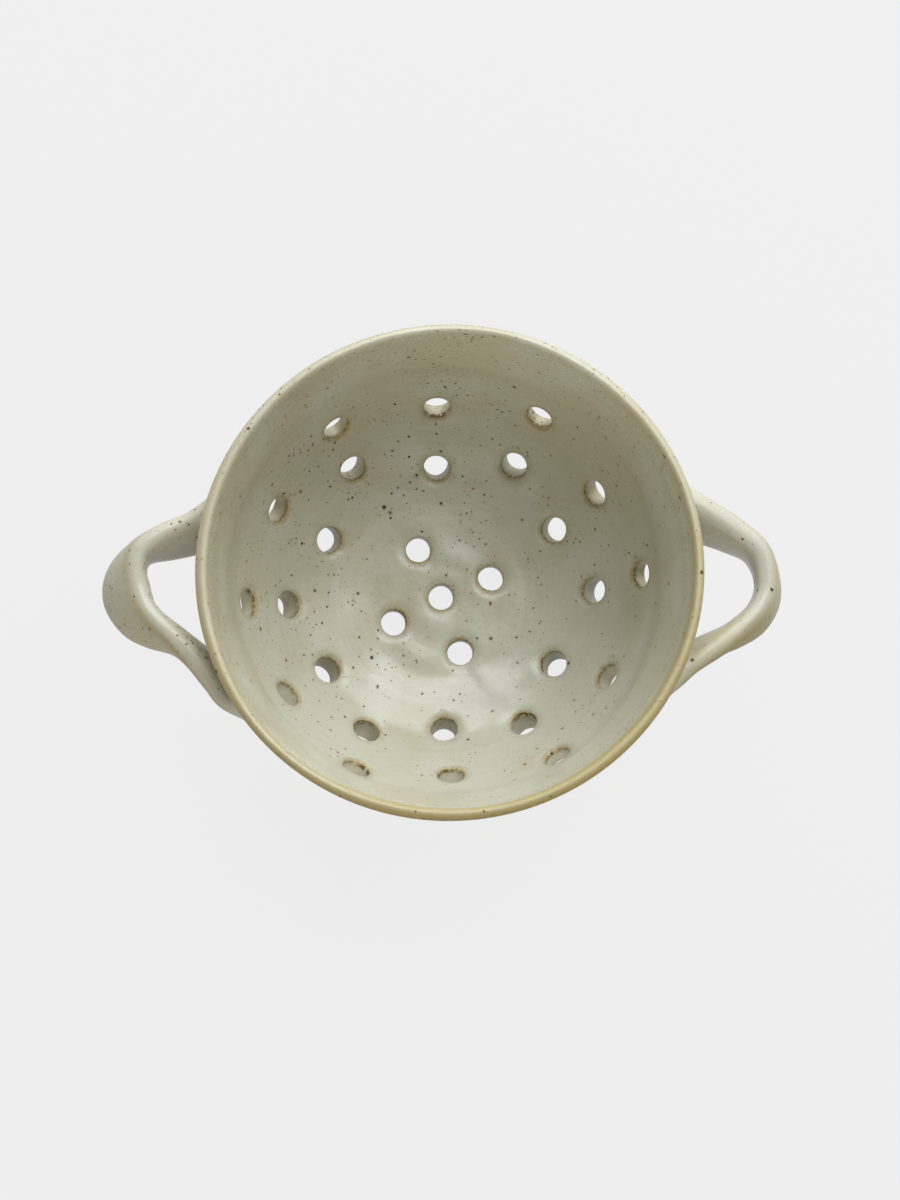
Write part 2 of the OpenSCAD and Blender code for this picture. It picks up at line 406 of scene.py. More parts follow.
# What the potter's hands left: the spiral of the fingers, the collar pressed in under the rim with a hollow
# below it, the ring worn round the floor, slow uneven lumps, soft knocks and the dish round each punched hole
spiral_pitch = 0.0118
spiral_height = 0.00009
collar_depth = 0.025
collar_height = 0.0008
collar_width = 0.009
collar_swing = 0.004
collar_fade = 0.5
hollow_share = 0.7
hollow_drop = 0.012
hollow_width = 0.006
flare_depth = 0.009
flare_width = 0.0005
groove_radius = 0.029
groove_width = 0.0055
groove_swing = 0.002
groove_depth = 0.00006
lump_height = 0.00022
lump_start = (0.01, 0.03)
dish_depth = 0.0008
dish_width = 0.0018

# The lumps, each kind as how many go round the bowl, their twist in radians for each metre up the wall, where
# they start in radians, and their strength
lump_waves = ((3, 90, 0, 1), (5, -130, 1.7, 0.8), (7, 60, 0.4, 0.5))

# Each knock as its turn in degrees, its radius share, its heading in degrees from uphill, and its half
# length, half width and height in millimetres
knocks = [
    (142, 0.66, 60, 9, 3, 0.35), (163, 0.67, 65, 10, 3, 0.35), (-60, 0.48, 15, 12, 3.5, 0.35),
    (45, 0.66, 0, 5, 5, -0.8), (58, 0.50, 30, 5, 4, -0.6), (20, 0.56, 20, 6, 4, -0.7),
    (14, 0.78, 0, 6, 4, -0.5), (60, 0.80, 90, 6, 4, 0.35), (108, 0.58, 90, 8, 5, -0.4),
    (-28, 0.76, 40, 8, 4, 0.35), (38, 0.78, 60, 6, 4, -0.4)]


def knock_marks(length, turn):
    """How far the knocks push the inside in or out."""
    total = np.zeros(len(length))
    for knock_turn, share, heading, half_length, half_width, height in knocks:
        middle = length_at(math.asin(share ** 2))
        up = (length - middle) * millimetres
        round_by = (np.mod(turn - math.radians(knock_turn) + math.pi, 2 * math.pi) - math.pi) * (
            inner_radius * share * millimetres)
        c, s = math.cos(math.radians(heading)), math.sin(math.radians(heading))
        total += height / millimetres * np.exp(-((up * c + round_by * s) / half_length) ** 2
                                               - ((round_by * c - up * s) / half_width) ** 2)
    return total


def hand_marks(length, turn, points):
    """How far the inside stands proud of its true curve."""
    depth = inner_top - points[:, 2]
    spiral = spiral_height * np.sin(2 * np.pi * length / spiral_pitch - turn) * (1.3 - length / wall_length)
    swung = depth - collar_depth + collar_swing * np.sin(turn)
    collar = collar_height * (1 - collar_fade * ease(np.sin(turn), 0, 1)) * (
        np.exp(-(swung / collar_width) ** 2)
        - hollow_share * np.exp(-((swung - hollow_drop) / hollow_width) ** 2))
    flare = -flare_width * np.clip(1 - depth / flare_depth, 0, 1) ** 2
    groove = -groove_depth * (0.7 - 0.3 * np.sin(turn - 0.6)) * np.exp(
        -((length - groove_radius - groove_swing * np.sin(turn - 2)) / groove_width) ** 2)
    waves = (strength * np.sin(count * turn + twist * length + start)
             for count, twist, start, strength in lump_waves)
    lumps = lump_height * ease(length, *lump_start) * sum(waves)
    dishes = np.zeros(len(points))
    for hole in holes:
        away = np.linalg.norm(points - hole["middle"], axis=1)
        dishes -= dish_depth * np.exp(-(np.maximum(away - hole_radius, 0) / dish_width) ** 2)
    return spiral + collar + flare + groove + lumps + dishes + knock_marks(length, turn)


throwing_pitch = 0.0095
throwing_height = 0.00011
turning_pitch = 0.0031
turning_height = 0.00005


def turned_marks(length, turn):
    """How far the outside stands proud: slow rings from throwing with fine rings from turning on them."""
    thrown = throwing_height * np.sin(2 * np.pi * length / throwing_pitch + turn)
    turned = turning_height * np.sin(2 * np.pi * length / turning_pitch + turn)
    return (thrown + turned) * ease(wall_length - length, 0.002, 0.012)


rim_oval = 0.007
rim_wave = 0.0003


def dried(points):
    """The points once the clay has dried: the rim pulls a little oval and its edge isn't quite level."""
    turn = np.arctan2(points[:, 1], points[:, 0])
    lift = np.clip(points[:, 2] / rim_height, 0, 1) ** 3
    oval = 1 + rim_oval * lift * (np.cos(2 * turn) + np.sin(2 * turn))
    wave = rim_wave * lift * np.sin(3 * turn + 0.6)
    return np.column_stack([points[:, 0] * oval, points[:, 1] * oval, points[:, 2] + wave])


def wall_points(flat, share):
    """Points of the wall over places of the flat disc: share 0 is the inside and 1 the outside."""
    length = np.hypot(flat[:, 0], flat[:, 1])
    turn = np.arctan2(flat[:, 1], flat[:, 0])
    rise = rise_at(length)
    radius, height = inner_curve(rise)
    out, up = outward(rise)
    true = np.column_stack([radius * np.cos(turn), radius * np.sin(turn), height])
    offset = (share * (wall_thickness(rise) + turned_marks(length, turn))
              - (1 - share) * hand_marks(length, turn, true))
    radius = radius + offset * out
    return dried(np.column_stack([radius * np.cos(turn), radius * np.sin(turn), height + offset * up]))


# Round each hole the clay is laid in loops of points, and between the holes in rings that are six points
# longer each time
loop_points = 48
clock = np.arange(loop_points) * 2 * math.pi / loop_points
loop_gaps = (0, 0.0005, 0.0012, 0.0021, 0.0033)
loop_room = 0.004
ring_count = 78
nudge = 0.00001
tightenings = 5


def hole_loop(hole, share, reach):
    """Flat places round a hole where the wall's face lies that far from the hole's axis."""
    aim = reach[:, None] * np.column_stack([np.cos(clock), np.sin(clock)])
    flat = hole["flat"] + (aim * hole["stretch"]) @ hole["heading"]
    for _ in range(tightenings):
        here = wall_points(flat, share)
        miss = aim - (here - hole["middle"]) @ hole["across"]
        slopes = [(wall_points(flat + step, share) - here) @ hole["across"] / nudge
                  for step in (np.array([nudge, 0]), np.array([0, nudge]))]
        flat = flat + np.linalg.solve(np.stack(slopes, axis=2), miss[:, :, None])[:, :, 0]
    return flat


def hole_reach(index):
    """A punched hole isn't quite round: its radius round the clock."""
    return hole_radius * (1 + hole_oval * np.cos(2 * clock + index)
                          + hole_three_sided * np.cos(3 * clock + 2 * index))


def lay_face(share):
    """One face of the wall: its points, its triangles, and the loops at its holes and its rim."""
    rings = []
    for k in range(1, ring_count + 1):
        turn = 2 * math.pi * (np.arange(6 * k) + 0.5 * (k % 2)) / (6 * k)
        rings.append(wall_length * k / ring_count * np.column_stack([np.cos(turn), np.sin(turn)]))
    flat = np.concatenate(rings)
    points = wall_points(flat, share)
    keep = np.ones(len(flat), bool)
    for hole in holes:
        away = points - hole["middle"]
        near = np.abs(away @ hole["axis"]) < 2 * haunch_thickness
        beside = np.linalg.norm(away @ hole["across"], axis=1) < hole_radius + hole_edge + loop_room
        keep &= ~(near & beside)
    flat = flat[keep]
    rim_loop = np.arange(len(flat) - 6 * ring_count, len(flat))
    loops, edges = [], []
    for index, hole in enumerate(holes):
        for gap in loop_gaps:
            start = len(flat)
            flat = np.concatenate([flat, hole_loop(hole, share, hole_reach(index) + hole_edge + gap)])
            if gap == 0:
                loops.append(np.arange(start, start + loop_points))
                edges += [(start + i, start + (i + 1) % loop_points) for i in range(loop_points)]
    places = [Vector(p) for p in flat * millimetres]
    found = delaunay_2d_cdt(places, edges, [], 0, 1e-6, False)
    if len(found[0]) != len(flat):
        raise ValueError("two places of the wall fell together")
    owner = np.full(len(flat), -1)
    for index, loop in enumerate(loops):
        owner[loop] = index
    triangles = np.array(found[2])
    inside = (owner[triangles[:, 0]] >= 0) & (owner[triangles] == owner[triangles[:, :1]]).all(axis=1)
    return flat, triangles[~inside], loops, rim_loop


def bridge(loop_a, loop_b):
    """The four-sided faces between two closed loops of as many points."""
    return np.column_stack([loop_a, np.roll(loop_a, -1), np.roll(loop_b, -1), loop_b])


def model(name, points, faces, finish, **marks):
    """A smooth mesh piece in the row's frame, with its marks kept as point attributes for the finish."""
    mesh = bpy.data.meshes.new(name)
    mesh.from_pydata(points.tolist(), [], [tuple(map(int, face)) for face in faces])
    for mark, values in marks.items():
        mesh.attributes.new(mark, "FLOAT", "POINT").data.foreach_set("value", np.asarray(values, np.float32))
    mesh.materials.append(finish)
    mesh.shade_smooth()
    piece = bpy.data.objects.new(name, mesh)
    bpy.context.scene.collection.objects.link(piece)
    bpy.context.view_layer.objects.active = piece
    piece.select_set(True)
    bpy.ops.object.mode_set(mode="EDIT")
    bpy.ops.mesh.select_all(action="SELECT")
    bpy.ops.mesh.normals_make_consistent(inside=False)
    bpy.ops.object.mode_set(mode="OBJECT")
    piece.select_set(False)
    return piece


# The thin glaze on the inner and on the outer side of the lip: its middle strength, how much that swings
# round the bowl and from where in radians, and how far down the wall it reaches. The outer side's swing is
# partly painted shade: its tan is strongest at the front, where the lip faces away from the windows.
lip_wears_and_shade = ((0.42, 0.3, 1.0), (0.54, 0.44, 1.4))
lip_fall = (0.005, 0.004)
lip_fall_power = 1.3

# How strongly the glaze thins and stains on the wall round a hole, and how far out that reaches. Both are
# stronger on the hole's lower side, by a swing either way of a middle value.
hole_wear = 0.55
hole_wear_fall = 0.0008
hole_stain = 0.3
hole_stain_fall = 0.0006
downhill_middle = 0.6
downhill_swing = 0.4

# The steps round each edge of a hole
shoulder_steps = (0.25, 0.5, 0.75, 1.0)

# How worn and how stained each loop of points in a hole is, from the inside of the bowl to the outside
loop_wear = [0.6, 0.7, 0.7, 0.5, 0.35, 0.3, 0.3, 0.3, 0.4, 0.4, 0.4]
loop_stain = [0.1, 0.5, 1.0, 0.9, 0.1, 0.0, 0.0, 0.1, 0.3, 0.3, 0.0]

# Each hole is stained most in a patch of its own, whose side and strength step on from hole to hole
stain_ground = 0.7
stain_patch = 0.45
patch_turn = 2.4
patch_beat = 1.9


def lip_wear_and_shade(turn, side):
    """How thin the glaze is on a side of the lip, round the bowl: side 0 is the inner and 1 the outer.
    On the outer side it is partly painted shade, strongest at the front.
    """
    middle, swing, start = lip_wears_and_shade[side]
    return middle + swing * np.cos(turn + start)


def face_marks(flat, face_points, side):
    """How worn and stained each point of one face of the wall is, partly painted shade by the outer lip, and
    how far up it lies.
    """
    length = np.hypot(flat[:, 0], flat[:, 1])
    turn = np.arctan2(flat[:, 1], flat[:, 0])
    below = np.maximum(wall_length - length, 0)
    wear = lip_wear_and_shade(turn, side) * np.exp(-(below / lip_fall[side]) ** lip_fall_power)
    rust = np.zeros(len(flat))
    for hole in holes:
        away = face_points - hole["middle"]
        near = np.abs(away @ hole["axis"]) < 2 * haunch_thickness
        level = away @ hole["across"]
        reach = np.linalg.norm(level, axis=1)
        downhill = downhill_middle - downhill_swing * level[:, 0] / reach
        gap = np.maximum(reach - hole_radius - hole_edge, 0)
        wear = np.maximum(wear, near * hole_wear * downhill * np.exp(-gap / hole_wear_fall))
        rust = np.maximum(rust, near * hole_stain * downhill * np.exp(-gap / hole_stain_fall))
    return wear, rust, length


def bore_loops(index, inner_loop, outer_loop):
    """The loops of points through a hole from the inside to the outside, with its two edges rounded."""
    hole, reach = holes[index], hole_reach(index)
    shoulders = []
    for share, loop, inward in ((0, inner_loop, 1), (1, outer_loop, -1)):
        corner = wall_points(hole_loop(hole, share, reach), share)
        bore = corner + inward * hole_edge * hole["axis"]
        shoulders.append([(1 - t) ** 2 * loop + 2 * t * (1 - t) * corner + t ** 2 * bore
                          for t in shoulder_steps])
    first, last = shoulders[0][-1], shoulders[1][-1]
    straight = [first + (last - first) * t for t in shoulder_steps[:-1]]
    return shoulders[0] + straight + shoulders[1][::-1]


lip_steps = 16
# The stain on the lip's outer edge is partly painted shade: it follows the outer tan and darkens the front.
lip_stain_and_shade = 0.4

# The two pull points of the lip's curve, as shares of the way across it and of the lip's radius up
lip_pulls = ((0.08, 1.45), (0.7, 1.15))


def thrown_bowl():
    """The bowl's points and faces, how worn and stained each point is, partly as painted shade on the outer
    lip, and how far up it lies.
    """
    inner_flat, inner_faces, inner_loops, inner_rim = lay_face(0)
    outer_flat, outer_faces, outer_loops, outer_rim = lay_face(1)
    inner, outer = wall_points(inner_flat, 0), wall_points(outer_flat, 1)
    points = [inner, outer]
    marks = face_marks(inner_flat, inner, 0), face_marks(outer_flat, outer, 1)
    edge, stain, along = (list(pair) for pair in zip(*marks))
    count = len(inner) + len(outer)
    faces = list(inner_faces) + list(outer_faces[:, ::-1] + len(inner))

    def add_loop(loop, wear, rust, lengths):
        nonlocal count
        points.append(loop)
        for mark, values in ((edge, wear), (stain, rust), (along, lengths)):
            mark.append(np.broadcast_to(values, len(loop)))
        count += len(loop)
        return np.arange(count - len(loop), count)

    for index, hole in enumerate(holes):
        length = np.hypot(*hole["flat"])
        stack = bore_loops(index, inner[inner_loops[index]], outer[outer_loops[index]])
        downhill = downhill_middle - downhill_swing * np.cos(clock)
        patch = ease(np.cos(clock - patch_turn * index), 0.2, 0.9)
        arc = stain_ground * downhill + patch * (stain_patch + stain_patch * math.sin(patch_beat * index))
        before = inner_loops[index]
        for loop, wear, rust in zip(stack, loop_wear, loop_stain):
            after = add_loop(loop, wear * downhill, rust * arc, length)
            faces.extend(bridge(before, after))
            before = after
        faces.extend(bridge(before, outer_loops[index] + len(inner)))

    inner_edge, outer_edge = inner[inner_rim], outer[outer_rim]
    rim_turn = np.arctan2(inner_edge[:, 1], inner_edge[:, 0])
    # The outer tan and the stain on the lip are partly painted shade, darkest at the front, away from the
    # windows.
    inner_wear, outer_wear_and_shade = lip_wear_and_shade(rim_turn, 0), lip_wear_and_shade(rim_turn, 1)
    across = outer_edge - inner_edge
    rise = np.array([0, 0, lip_radius])
    inner_pull, outer_pull = (inner_edge + over * across + above * rise for over, above in lip_pulls)
    before = inner_rim
    for step in range(1, lip_steps):
        t = step / lip_steps
        after = add_loop((1 - t) ** 3 * inner_edge + 3 * t * (1 - t) ** 2 * inner_pull
                         + 3 * t ** 2 * (1 - t) * outer_pull + t ** 3 * outer_edge,
                         inner_wear * (1 - ease(t, 0.3, 0.7)) + outer_wear_and_shade * ease(t, 0.35, 0.75),
                         lip_stain_and_shade * outer_wear_and_shade ** 4 * ease(t, 0.75, 0.95), wall_length + rim_thickness * t)
        faces.extend(bridge(before, after))
        before = after
    faces.extend(bridge(before, outer_rim + len(inner)))
    return (np.concatenate(points), faces, np.concatenate(edge), np.concatenate(stain),
            millimetres * np.concatenate(along))


# The larger specks on the inside, each as its turn in degrees, its radius share and its own radius in
# tenths of a millimetre
bowl_spots = [
    (122, 0.52, 8), (122, 0.46, 5), (132, 0.64, 5), (102, 0.77, 5), (105, 0.89, 5), (92, 0.77, 5),
    (103, 0.69, 5), (136, 0.74, 4), (132, 0.92, 5), (135, 0.83, 4), (160, 0.71, 6), (149, 0.86, 5),
    (106, 0.76, 4), (90, 0.92, 5), (99, 0.994, 4), (92, 0.986, 4), (49, 0.91, 4), (54, 0.985, 4),
    (23, 0.70, 3), (11, 0.93, 5), (11, 0.875, 4), (26, 0.85, 3), (76, 0.48, 3), (80, 0.60, 4),
    (177, 0.40, 6), (-175, 0.55, 4), (-139, 0.44, 7), (-119, 0.37, 3), (-125, 0.41, 3), (-156, 0.71, 4),
    (-163, 0.65, 4), (-125, 0.64, 4), (-134, 0.68, 3), (-112, 0.71, 4), (-100, 0.55, 3), (-168, 0.994, 5),
    (173, 0.72, 4), (178, 0.785, 4), (-97, 0.86, 4), (-98, 0.885, 3), (-53, 0.62, 3), (-6, 0.45, 4),
    (-15, 0.49, 3), (-10, 0.61, 3), (12, 0.48, 4), (-72, 0.87, 3), (-35, 0.92, 4), (-21, 0.88, 3),
    (-48, 0.26, 4), (-45, 0.87, 3), (-2, 0.645, 3), (8, 0.675, 3)]


def spot_place(turn_degrees, radius_share):
    """The place of a speck on the inside of the bowl."""
    turn = math.radians(turn_degrees)
    flat = length_at(math.asin(radius_share ** 2)) * np.array([[math.cos(turn), math.sin(turn)]])
    return wall_points(flat, 0)[0]


# The largest speck lies on top of the lip, by the right handle
lip_spot_turn = math.radians(-1.5)
lip_spot_radius = 0.0009
lip_spot_inset = 0.001
lip_spot_drop = 0.0007
lip_spot = (rim_radius - lip_spot_inset) * np.array([math.cos(lip_spot_turn), math.sin(lip_spot_turn), 0])
lip_spot[2] = rim_height - lip_spot_drop
larger_specks = [(spot_place(turn, share), radius / 10 / millimetres) for turn, share, radius in bowl_spots]
bowl_finish = glazed("grey green glaze", "c1bca4", "c8c8b6", "b0a066", 0.66,
                     larger_specks + [(lip_spot, lip_spot_radius)])
bowl_points, bowl_faces, bowl_edge_and_shade, bowl_stain_and_shade, bowl_along = thrown_bowl()
bowl = model("bowl", bowl_points, bowl_faces, bowl_finish, edge=bowl_edge_and_shade, stain=bowl_stain_and_shade, along=bowl_along)
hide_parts("bowl_body")
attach(bowl, "root")


# The foot ring
# A ring of the same clay, turned on the wheel under the bowl. It is glazed down its sides, and wiped clean on
# the face that stands on the kiln shelf, so bare toasted clay shows there.
foot_low, foot_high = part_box("foot_ring")
foot_flare = 0.002
foot_width = 0.004
foot_radius = (foot_high.x - foot_low.x) / 2 - foot_flare
foot_round = 0.0008
foot_cove = 0.0025
foot_cove_drop = 0.9
foot_sink = 0.0006
foot_bare_stain = 0.6
foot_turns = 240
cove_steps = 7
corner_steps = 6
outer_rises = np.pi / 2 * curve_steps ** 2
outer_out, outer_up = outward(outer_rises)
outer_radii = curve_radii + wall_thickness(outer_rises) * outer_out
outer_heights = curve_heights + wall_thickness(outer_rises) * outer_up


def underside(radius):
    """Height of the outside of the bowl over a radius near the foot."""
    return np.interp(radius, outer_radii, outer_heights)


def foot_outline():
    """The section of the foot as [radius, height, wear]. Both its ends lie inside the bowl's clay."""
    inner, outer = foot_radius - foot_width, foot_radius
    outline = []
    for side, wall in ((-1, inner), (1, outer)):
        cove = []
        for angle in np.linspace(0, math.pi / 2, cove_steps):
            radius = wall + side * foot_cove * (1 - math.sin(angle))
            top = underside(wall + side * foot_cove)
            cove.append([radius, top - foot_cove * (1 - math.cos(angle)) * foot_cove_drop, 0.0])
        buried = [[wall + side * foot_cove, underside(wall + side * foot_cove) + foot_sink, 0.0]]
        corner = []
        for angle in np.linspace(0, math.pi / 2, corner_steps):
            corner.append([wall - side * foot_round * (1 - math.cos(angle)),
                           foot_round * (1 - math.sin(angle)), 0.6 + 0.4 * math.sin(2 * angle)])
        line = buried + cove + corner
        outline += line if side < 0 else line[::-1]
    return np.array(outline)


def turned_ring(outline, turns):
    """A closed outline turned round the bowl's axis."""
    radius, height = outline[:, 0], outline[:, 1]
    points = np.concatenate([np.column_stack([radius * math.cos(angle), radius * math.sin(angle), height])
                             for angle in 2 * np.pi * np.arange(turns) / turns])
    grid = np.arange(turns * len(outline)).reshape(turns, len(outline))
    faces = np.concatenate([bridge(grid[i], grid[(i + 1) % turns]) for i in range(turns)])
    return points, faces


foot_section = foot_outline()
foot_points, foot_faces = turned_ring(foot_section, foot_turns)
foot_finish = glazed("foot glaze", "bbb69f", "c2c2b0", "b0a066", 0.7)
foot_bare = foot_bare_stain * (1 - ease(foot_points[:, 2], 0.2 * foot_round, foot_round))
foot = model("foot", foot_points, foot_faces, foot_finish, edge=np.tile(foot_section[:, 2], foot_turns),
             stain=foot_bare, along=millimetres * foot_points[:, 2])
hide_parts("foot_ring")
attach(foot, "root")


# The handles
# Each is a strap pulled from a lump of clay, bent round while soft and luted on with slip. Its two roots are
# smeared out over the wall with a thumb, further along at the front than at the back.
handle_reach = 0.027
strap_width = 0.023
strap_thickness = 0.0085
strap_power = 2.6
root_fillet = 0.004
root_sink = 0.0005
strap_steps = 11
strap_sides = 72

# At a strap's corners its two outline values multiply to this share. The wear falls off sharply from it.
corner_share = 0.58
corner_power = 9

# Rows from the rear root to the front root: turn in degrees, stand-off as a share of the reach, depth below
# the rim as a share of the width, lean in degrees, width share, thickness share
right_strap_shares = [
    (22.4, -0.20, 1.10, -14, 1.20, 1.20), (17, 0.01, 1.10, -13, 1.14, 1.20),
    (12.6, 0.27, 1.09, -11, 1.06, 1.20), (8.5, 0.60, 1.09, -1, 1.00, 1.17),
    (4.4, 0.89, 1.08, 11, 0.98, 1.08), (-2, 1.00, 1.08, 20, 0.98, 1.02),
    (-7, 0.90, 1.08, 18, 1.00, 1.02), (-11, 0.66, 1.09, 8, 1.02, 1.04),
    (-15, 0.36, 1.10, -6, 1.06, 1.02), (-20, 0.11, 1.12, -10, 1.12, 0.96),
    (-26, -0.04, 1.14, -10, 1.14, 0.90), (-34, -0.20, 1.16, -8, 1.10, 0.80)]
left_strap_shares = [
    (17, -0.24, 1.12, -18, 1.18, 1.15), (12.4, -0.01, 1.12, -18, 1.12, 1.02),
    (9.2, 0.21, 1.10, -16, 1.06, 0.88), (6.6, 0.51, 1.08, -8, 1.05, 1.00),
    (4.2, 0.78, 1.08, 11, 1.09, 1.14), (0.8, 0.92, 1.08, 27, 1.11, 1.18),
    (-3, 0.94, 1.08, 35, 1.12, 1.15), (-7, 0.84, 1.08, 31, 1.10, 1.08),
    (-10, 0.68, 1.08, 21, 1.08, 1.02), (-14, 0.39, 1.10, 4, 1.06, 1.04),
    (-19, 0.19, 1.12, -5, 1.07, 1.02), (-25, 0.09, 1.13, -8, 1.05, 0.92),
    (-30, 0.03, 1.14, -10, 1.00, 0.84), (-37, -0.20, 1.14, -10, 0.92, 0.74)]


def through(rows):
    """The rows with a smooth curve of steps between each two."""
    rows = np.array(rows, float)
    padded = np.concatenate([rows[:1], rows, rows[-1:]])
    fine = []
    for a, b, c, d in zip(padded, padded[1:], padded[2:], padded[3:]):
        for t in np.arange(strap_steps) / strap_steps:
            fine.append((2 * b + (c - a) * t + (2 * a - 5 * b + 4 * c - d) * t ** 2
                         + (3 * b - a - 3 * c + d) * t ** 3) / 2)
    return np.array(fine + [rows[-1]])


def unit(vectors):
    """The vectors, each one long."""
    return vectors / np.linalg.norm(vectors, axis=-1, keepdims=True)


def beside_wall(points):
    """How far the points are from the bowl's axis, and how far its outside is at their height."""
    return np.linalg.norm(points[..., :2], axis=-1), np.interp(points[..., 2], outer_heights, outer_radii)


def strap(rows, side, corner_wear, front_shade_strength, outer_wear_and_shade):
    """A strap's points and faces, its wear and painted shade, and how far across it each point lies. Side is
    1 or -1 in X.
    """
    rows = through(rows)
    turn, lean = np.radians(rows[:, 0]), np.radians(rows[:, 3])[:, None]
    stand = rim_radius + rows[:, 1] * handle_reach
    height = rim_height - rows[:, 2] * strap_width
    middle = np.column_stack([stand * np.cos(turn), stand * np.sin(turn), height])
    run = unit(np.concatenate([middle[1:], middle[-1:]]) - np.concatenate([middle[:1], middle[:-1]]))
    up = unit(np.array([0, 0, 1]) - run[:, 2:] * run)
    sideways = np.cross(run, up)
    wide = np.cos(lean) * up + np.sin(lean) * sideways
    thick = np.cos(lean) * sideways - np.sin(lean) * up
    angle = 2 * np.pi * np.arange(strap_sides) / strap_sides
    w, t = (np.sign(x) * np.abs(x) ** (2 / strap_power) for x in (np.cos(angle), np.sin(angle)))
    w, t = w[None, :, None], t[None, :, None]
    width, thickness = rows[:, 4, None, None] * strap_width / 2, rows[:, 5, None, None] * strap_thickness / 2
    wide, thick = wide[:, None], thick[:, None]
    points = middle[:, None] + wide * w * width + thick * t * thickness
    facing = unit(wide * w * strap_thickness + thick * t * strap_width)
    out, wall = beside_wall(points)
    wall_facing = points * np.array([1, 1, 0]) / out[..., None]
    along_wall = facing - (facing * wall_facing).sum(-1, keepdims=True) * wall_facing
    gap = np.maximum(out - wall, 0)
    fall = np.maximum(root_fillet - gap, 0)
    points = points + along_wall * (root_fillet - np.sqrt(root_fillet ** 2 - fall ** 2))[..., None]
    out, wall = beside_wall(points)
    push = np.maximum((wall - root_sink) / out, 1)[..., None]
    points = points * np.concatenate([push, push, np.ones_like(push)], axis=-1)
    corner = np.clip(np.abs(w * t)[..., 0] / corner_share, 0, 1) ** corner_power
    # The front arm gets painted shade and the outer face partly painted shade, both in the thin glaze's
    # olive; the corners are thin glaze.
    front_shade = front_shade_strength * ease(-rows[:, :1], 2, 14)
    clear = np.clip(gap / root_fillet, 0, 1)
    wear = (corner_wear * corner + outer_wear_and_shade * np.clip(-t[..., 0], 0, 1) + front_shade) * clear
    points = points.reshape(-1, 3) * np.array([side, 1, 1])
    grid = np.arange(len(points)).reshape(len(rows), strap_sides)
    faces = [tuple(face) for a, b in zip(grid, grid[1:]) for face in bridge(a, b)]
    faces += [tuple(grid[0]), tuple(grid[-1])]
    across = millimetres * np.broadcast_to(w[..., 0] * strap_width / 2, grid.shape)
    return dried(points), faces, wear.ravel(), across.ravel()


# Each handle's wear is that of its corners, its front end and its outer face. The front end's is painted
# shade, and the outer face's is partly painted shade.
handle_finish = glazed("handle glaze", "c9c6b3", "c4c3b2", "a99c66", 0.7)
for side_name, side, rows, wears_and_shades in (("right", 1, right_strap_shares, (0.1, 0.38, 0.45)),
                                     ("left", -1, left_strap_shares, (0.2, 0.2, 0.34))):
    handle_points, handle_faces, handle_edge_and_shade, handle_along = strap(rows, side, *wears_and_shades)
    handle = model(side_name + "_strap", handle_points, handle_faces, handle_finish, edge=handle_edge_and_shade,
                   along=handle_along)
    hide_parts(side_name + "_handle")
    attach(handle, "root")


# The slip
# The same clay let down with water, brushed on where the foot and the handles seat. It fires into the joints
# as a thin matt layer, which the glaze covers.
def slip_clay():
    """Bare slip: matt grey-buff clay with a fine brushed grain."""
    finish = bpy.data.materials.new("slip")
    finish.use_nodes = True
    tree = finish.node_tree
    shader = tree.nodes["Principled BSDF"]
    grain = cloud(tree, true_place(tree), 1.1, 4.0, 0.6)
    tree.links.new(blend_colour(tree, grain, srgb("8f8b74"), srgb("a9a48c")), shader.inputs["Base Color"])
    tree.links.new(remap(tree, grain, 0.3, 0.7, 0.7, 0.9), shader.inputs["Roughness"])
    relief = add(tree, "ShaderNodeBump", Strength=0.4, Distance=0.0002, Height=grain)
    tree.links.new(relief.outputs["Normal"], shader.inputs["Normal"])
    return finish


slip_finish = slip_clay()
for slip_node in ("foot_slip", "left_handle_slip", "right_handle_slip"):
    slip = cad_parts[slip_node]
    slip.data.materials.clear()
    slip.data.materials.append(slip_finish)


# The table, the light and the camera
# A plain pale table, soft windows behind and beside the bowl, paler walls low down round the room, and a
# camera that looks almost straight down on it.
floor_half = 3.0

# The camera sees the table evenly pale. The bowl takes less light from it, and mirrors it a little brighter.
floor_grey = (0.25, 0.25, 0.25, 1)
floor_shown_grey = (0.04, 0.04, 0.04, 1)
floor_light = 0.24
floor_mirrored_light = 0.38
floor_shown_light = 0.82

floor_mesh = bpy.data.meshes.new("table")
floor_mesh.from_pydata([(x, y, 0) for x, y in ((-floor_half, -floor_half), (floor_half, -floor_half),
                                               (floor_half, floor_half), (-floor_half, floor_half))],
                       [], [(0, 1, 2, 3)])
floor_finish = bpy.data.materials.new("pale table")
floor_finish.use_nodes = True
floor_tree = floor_finish.node_tree
floor_shader = floor_tree.nodes["Principled BSDF"]
floor_path = add(floor_tree, "ShaderNodeLightPath").outputs
floor_seen = floor_path["Is Camera Ray"]
floor_gloss = floor_path["Is Glossy Ray"]
floor_pale = blend_colour(floor_tree, floor_seen, floor_grey, floor_shown_grey)
floor_gleam = add(floor_tree, "ShaderNodeMix", Factor=floor_gloss, A=floor_light, B=floor_mirrored_light)
floor_glow = add(floor_tree, "ShaderNodeMix", Factor=floor_seen, A=floor_gleam.outputs["Result"],
                 B=floor_shown_light)
floor_tree.links.new(floor_pale, floor_shader.inputs["Base Color"])
floor_tree.links.new(floor_glow.outputs["Result"], floor_shader.inputs["Emission Strength"])
floor_shader.inputs["Roughness"].default_value = 1.0
floor_shader.inputs["Specular IOR Level"].default_value = 0.0
floor_shader.inputs["Emission Color"].default_value = (1, 1, 1, 1)
floor_mesh.materials.append(floor_finish)
floor = bpy.data.objects.new("table", floor_mesh)
bpy.context.scene.collection.objects.link(floor)


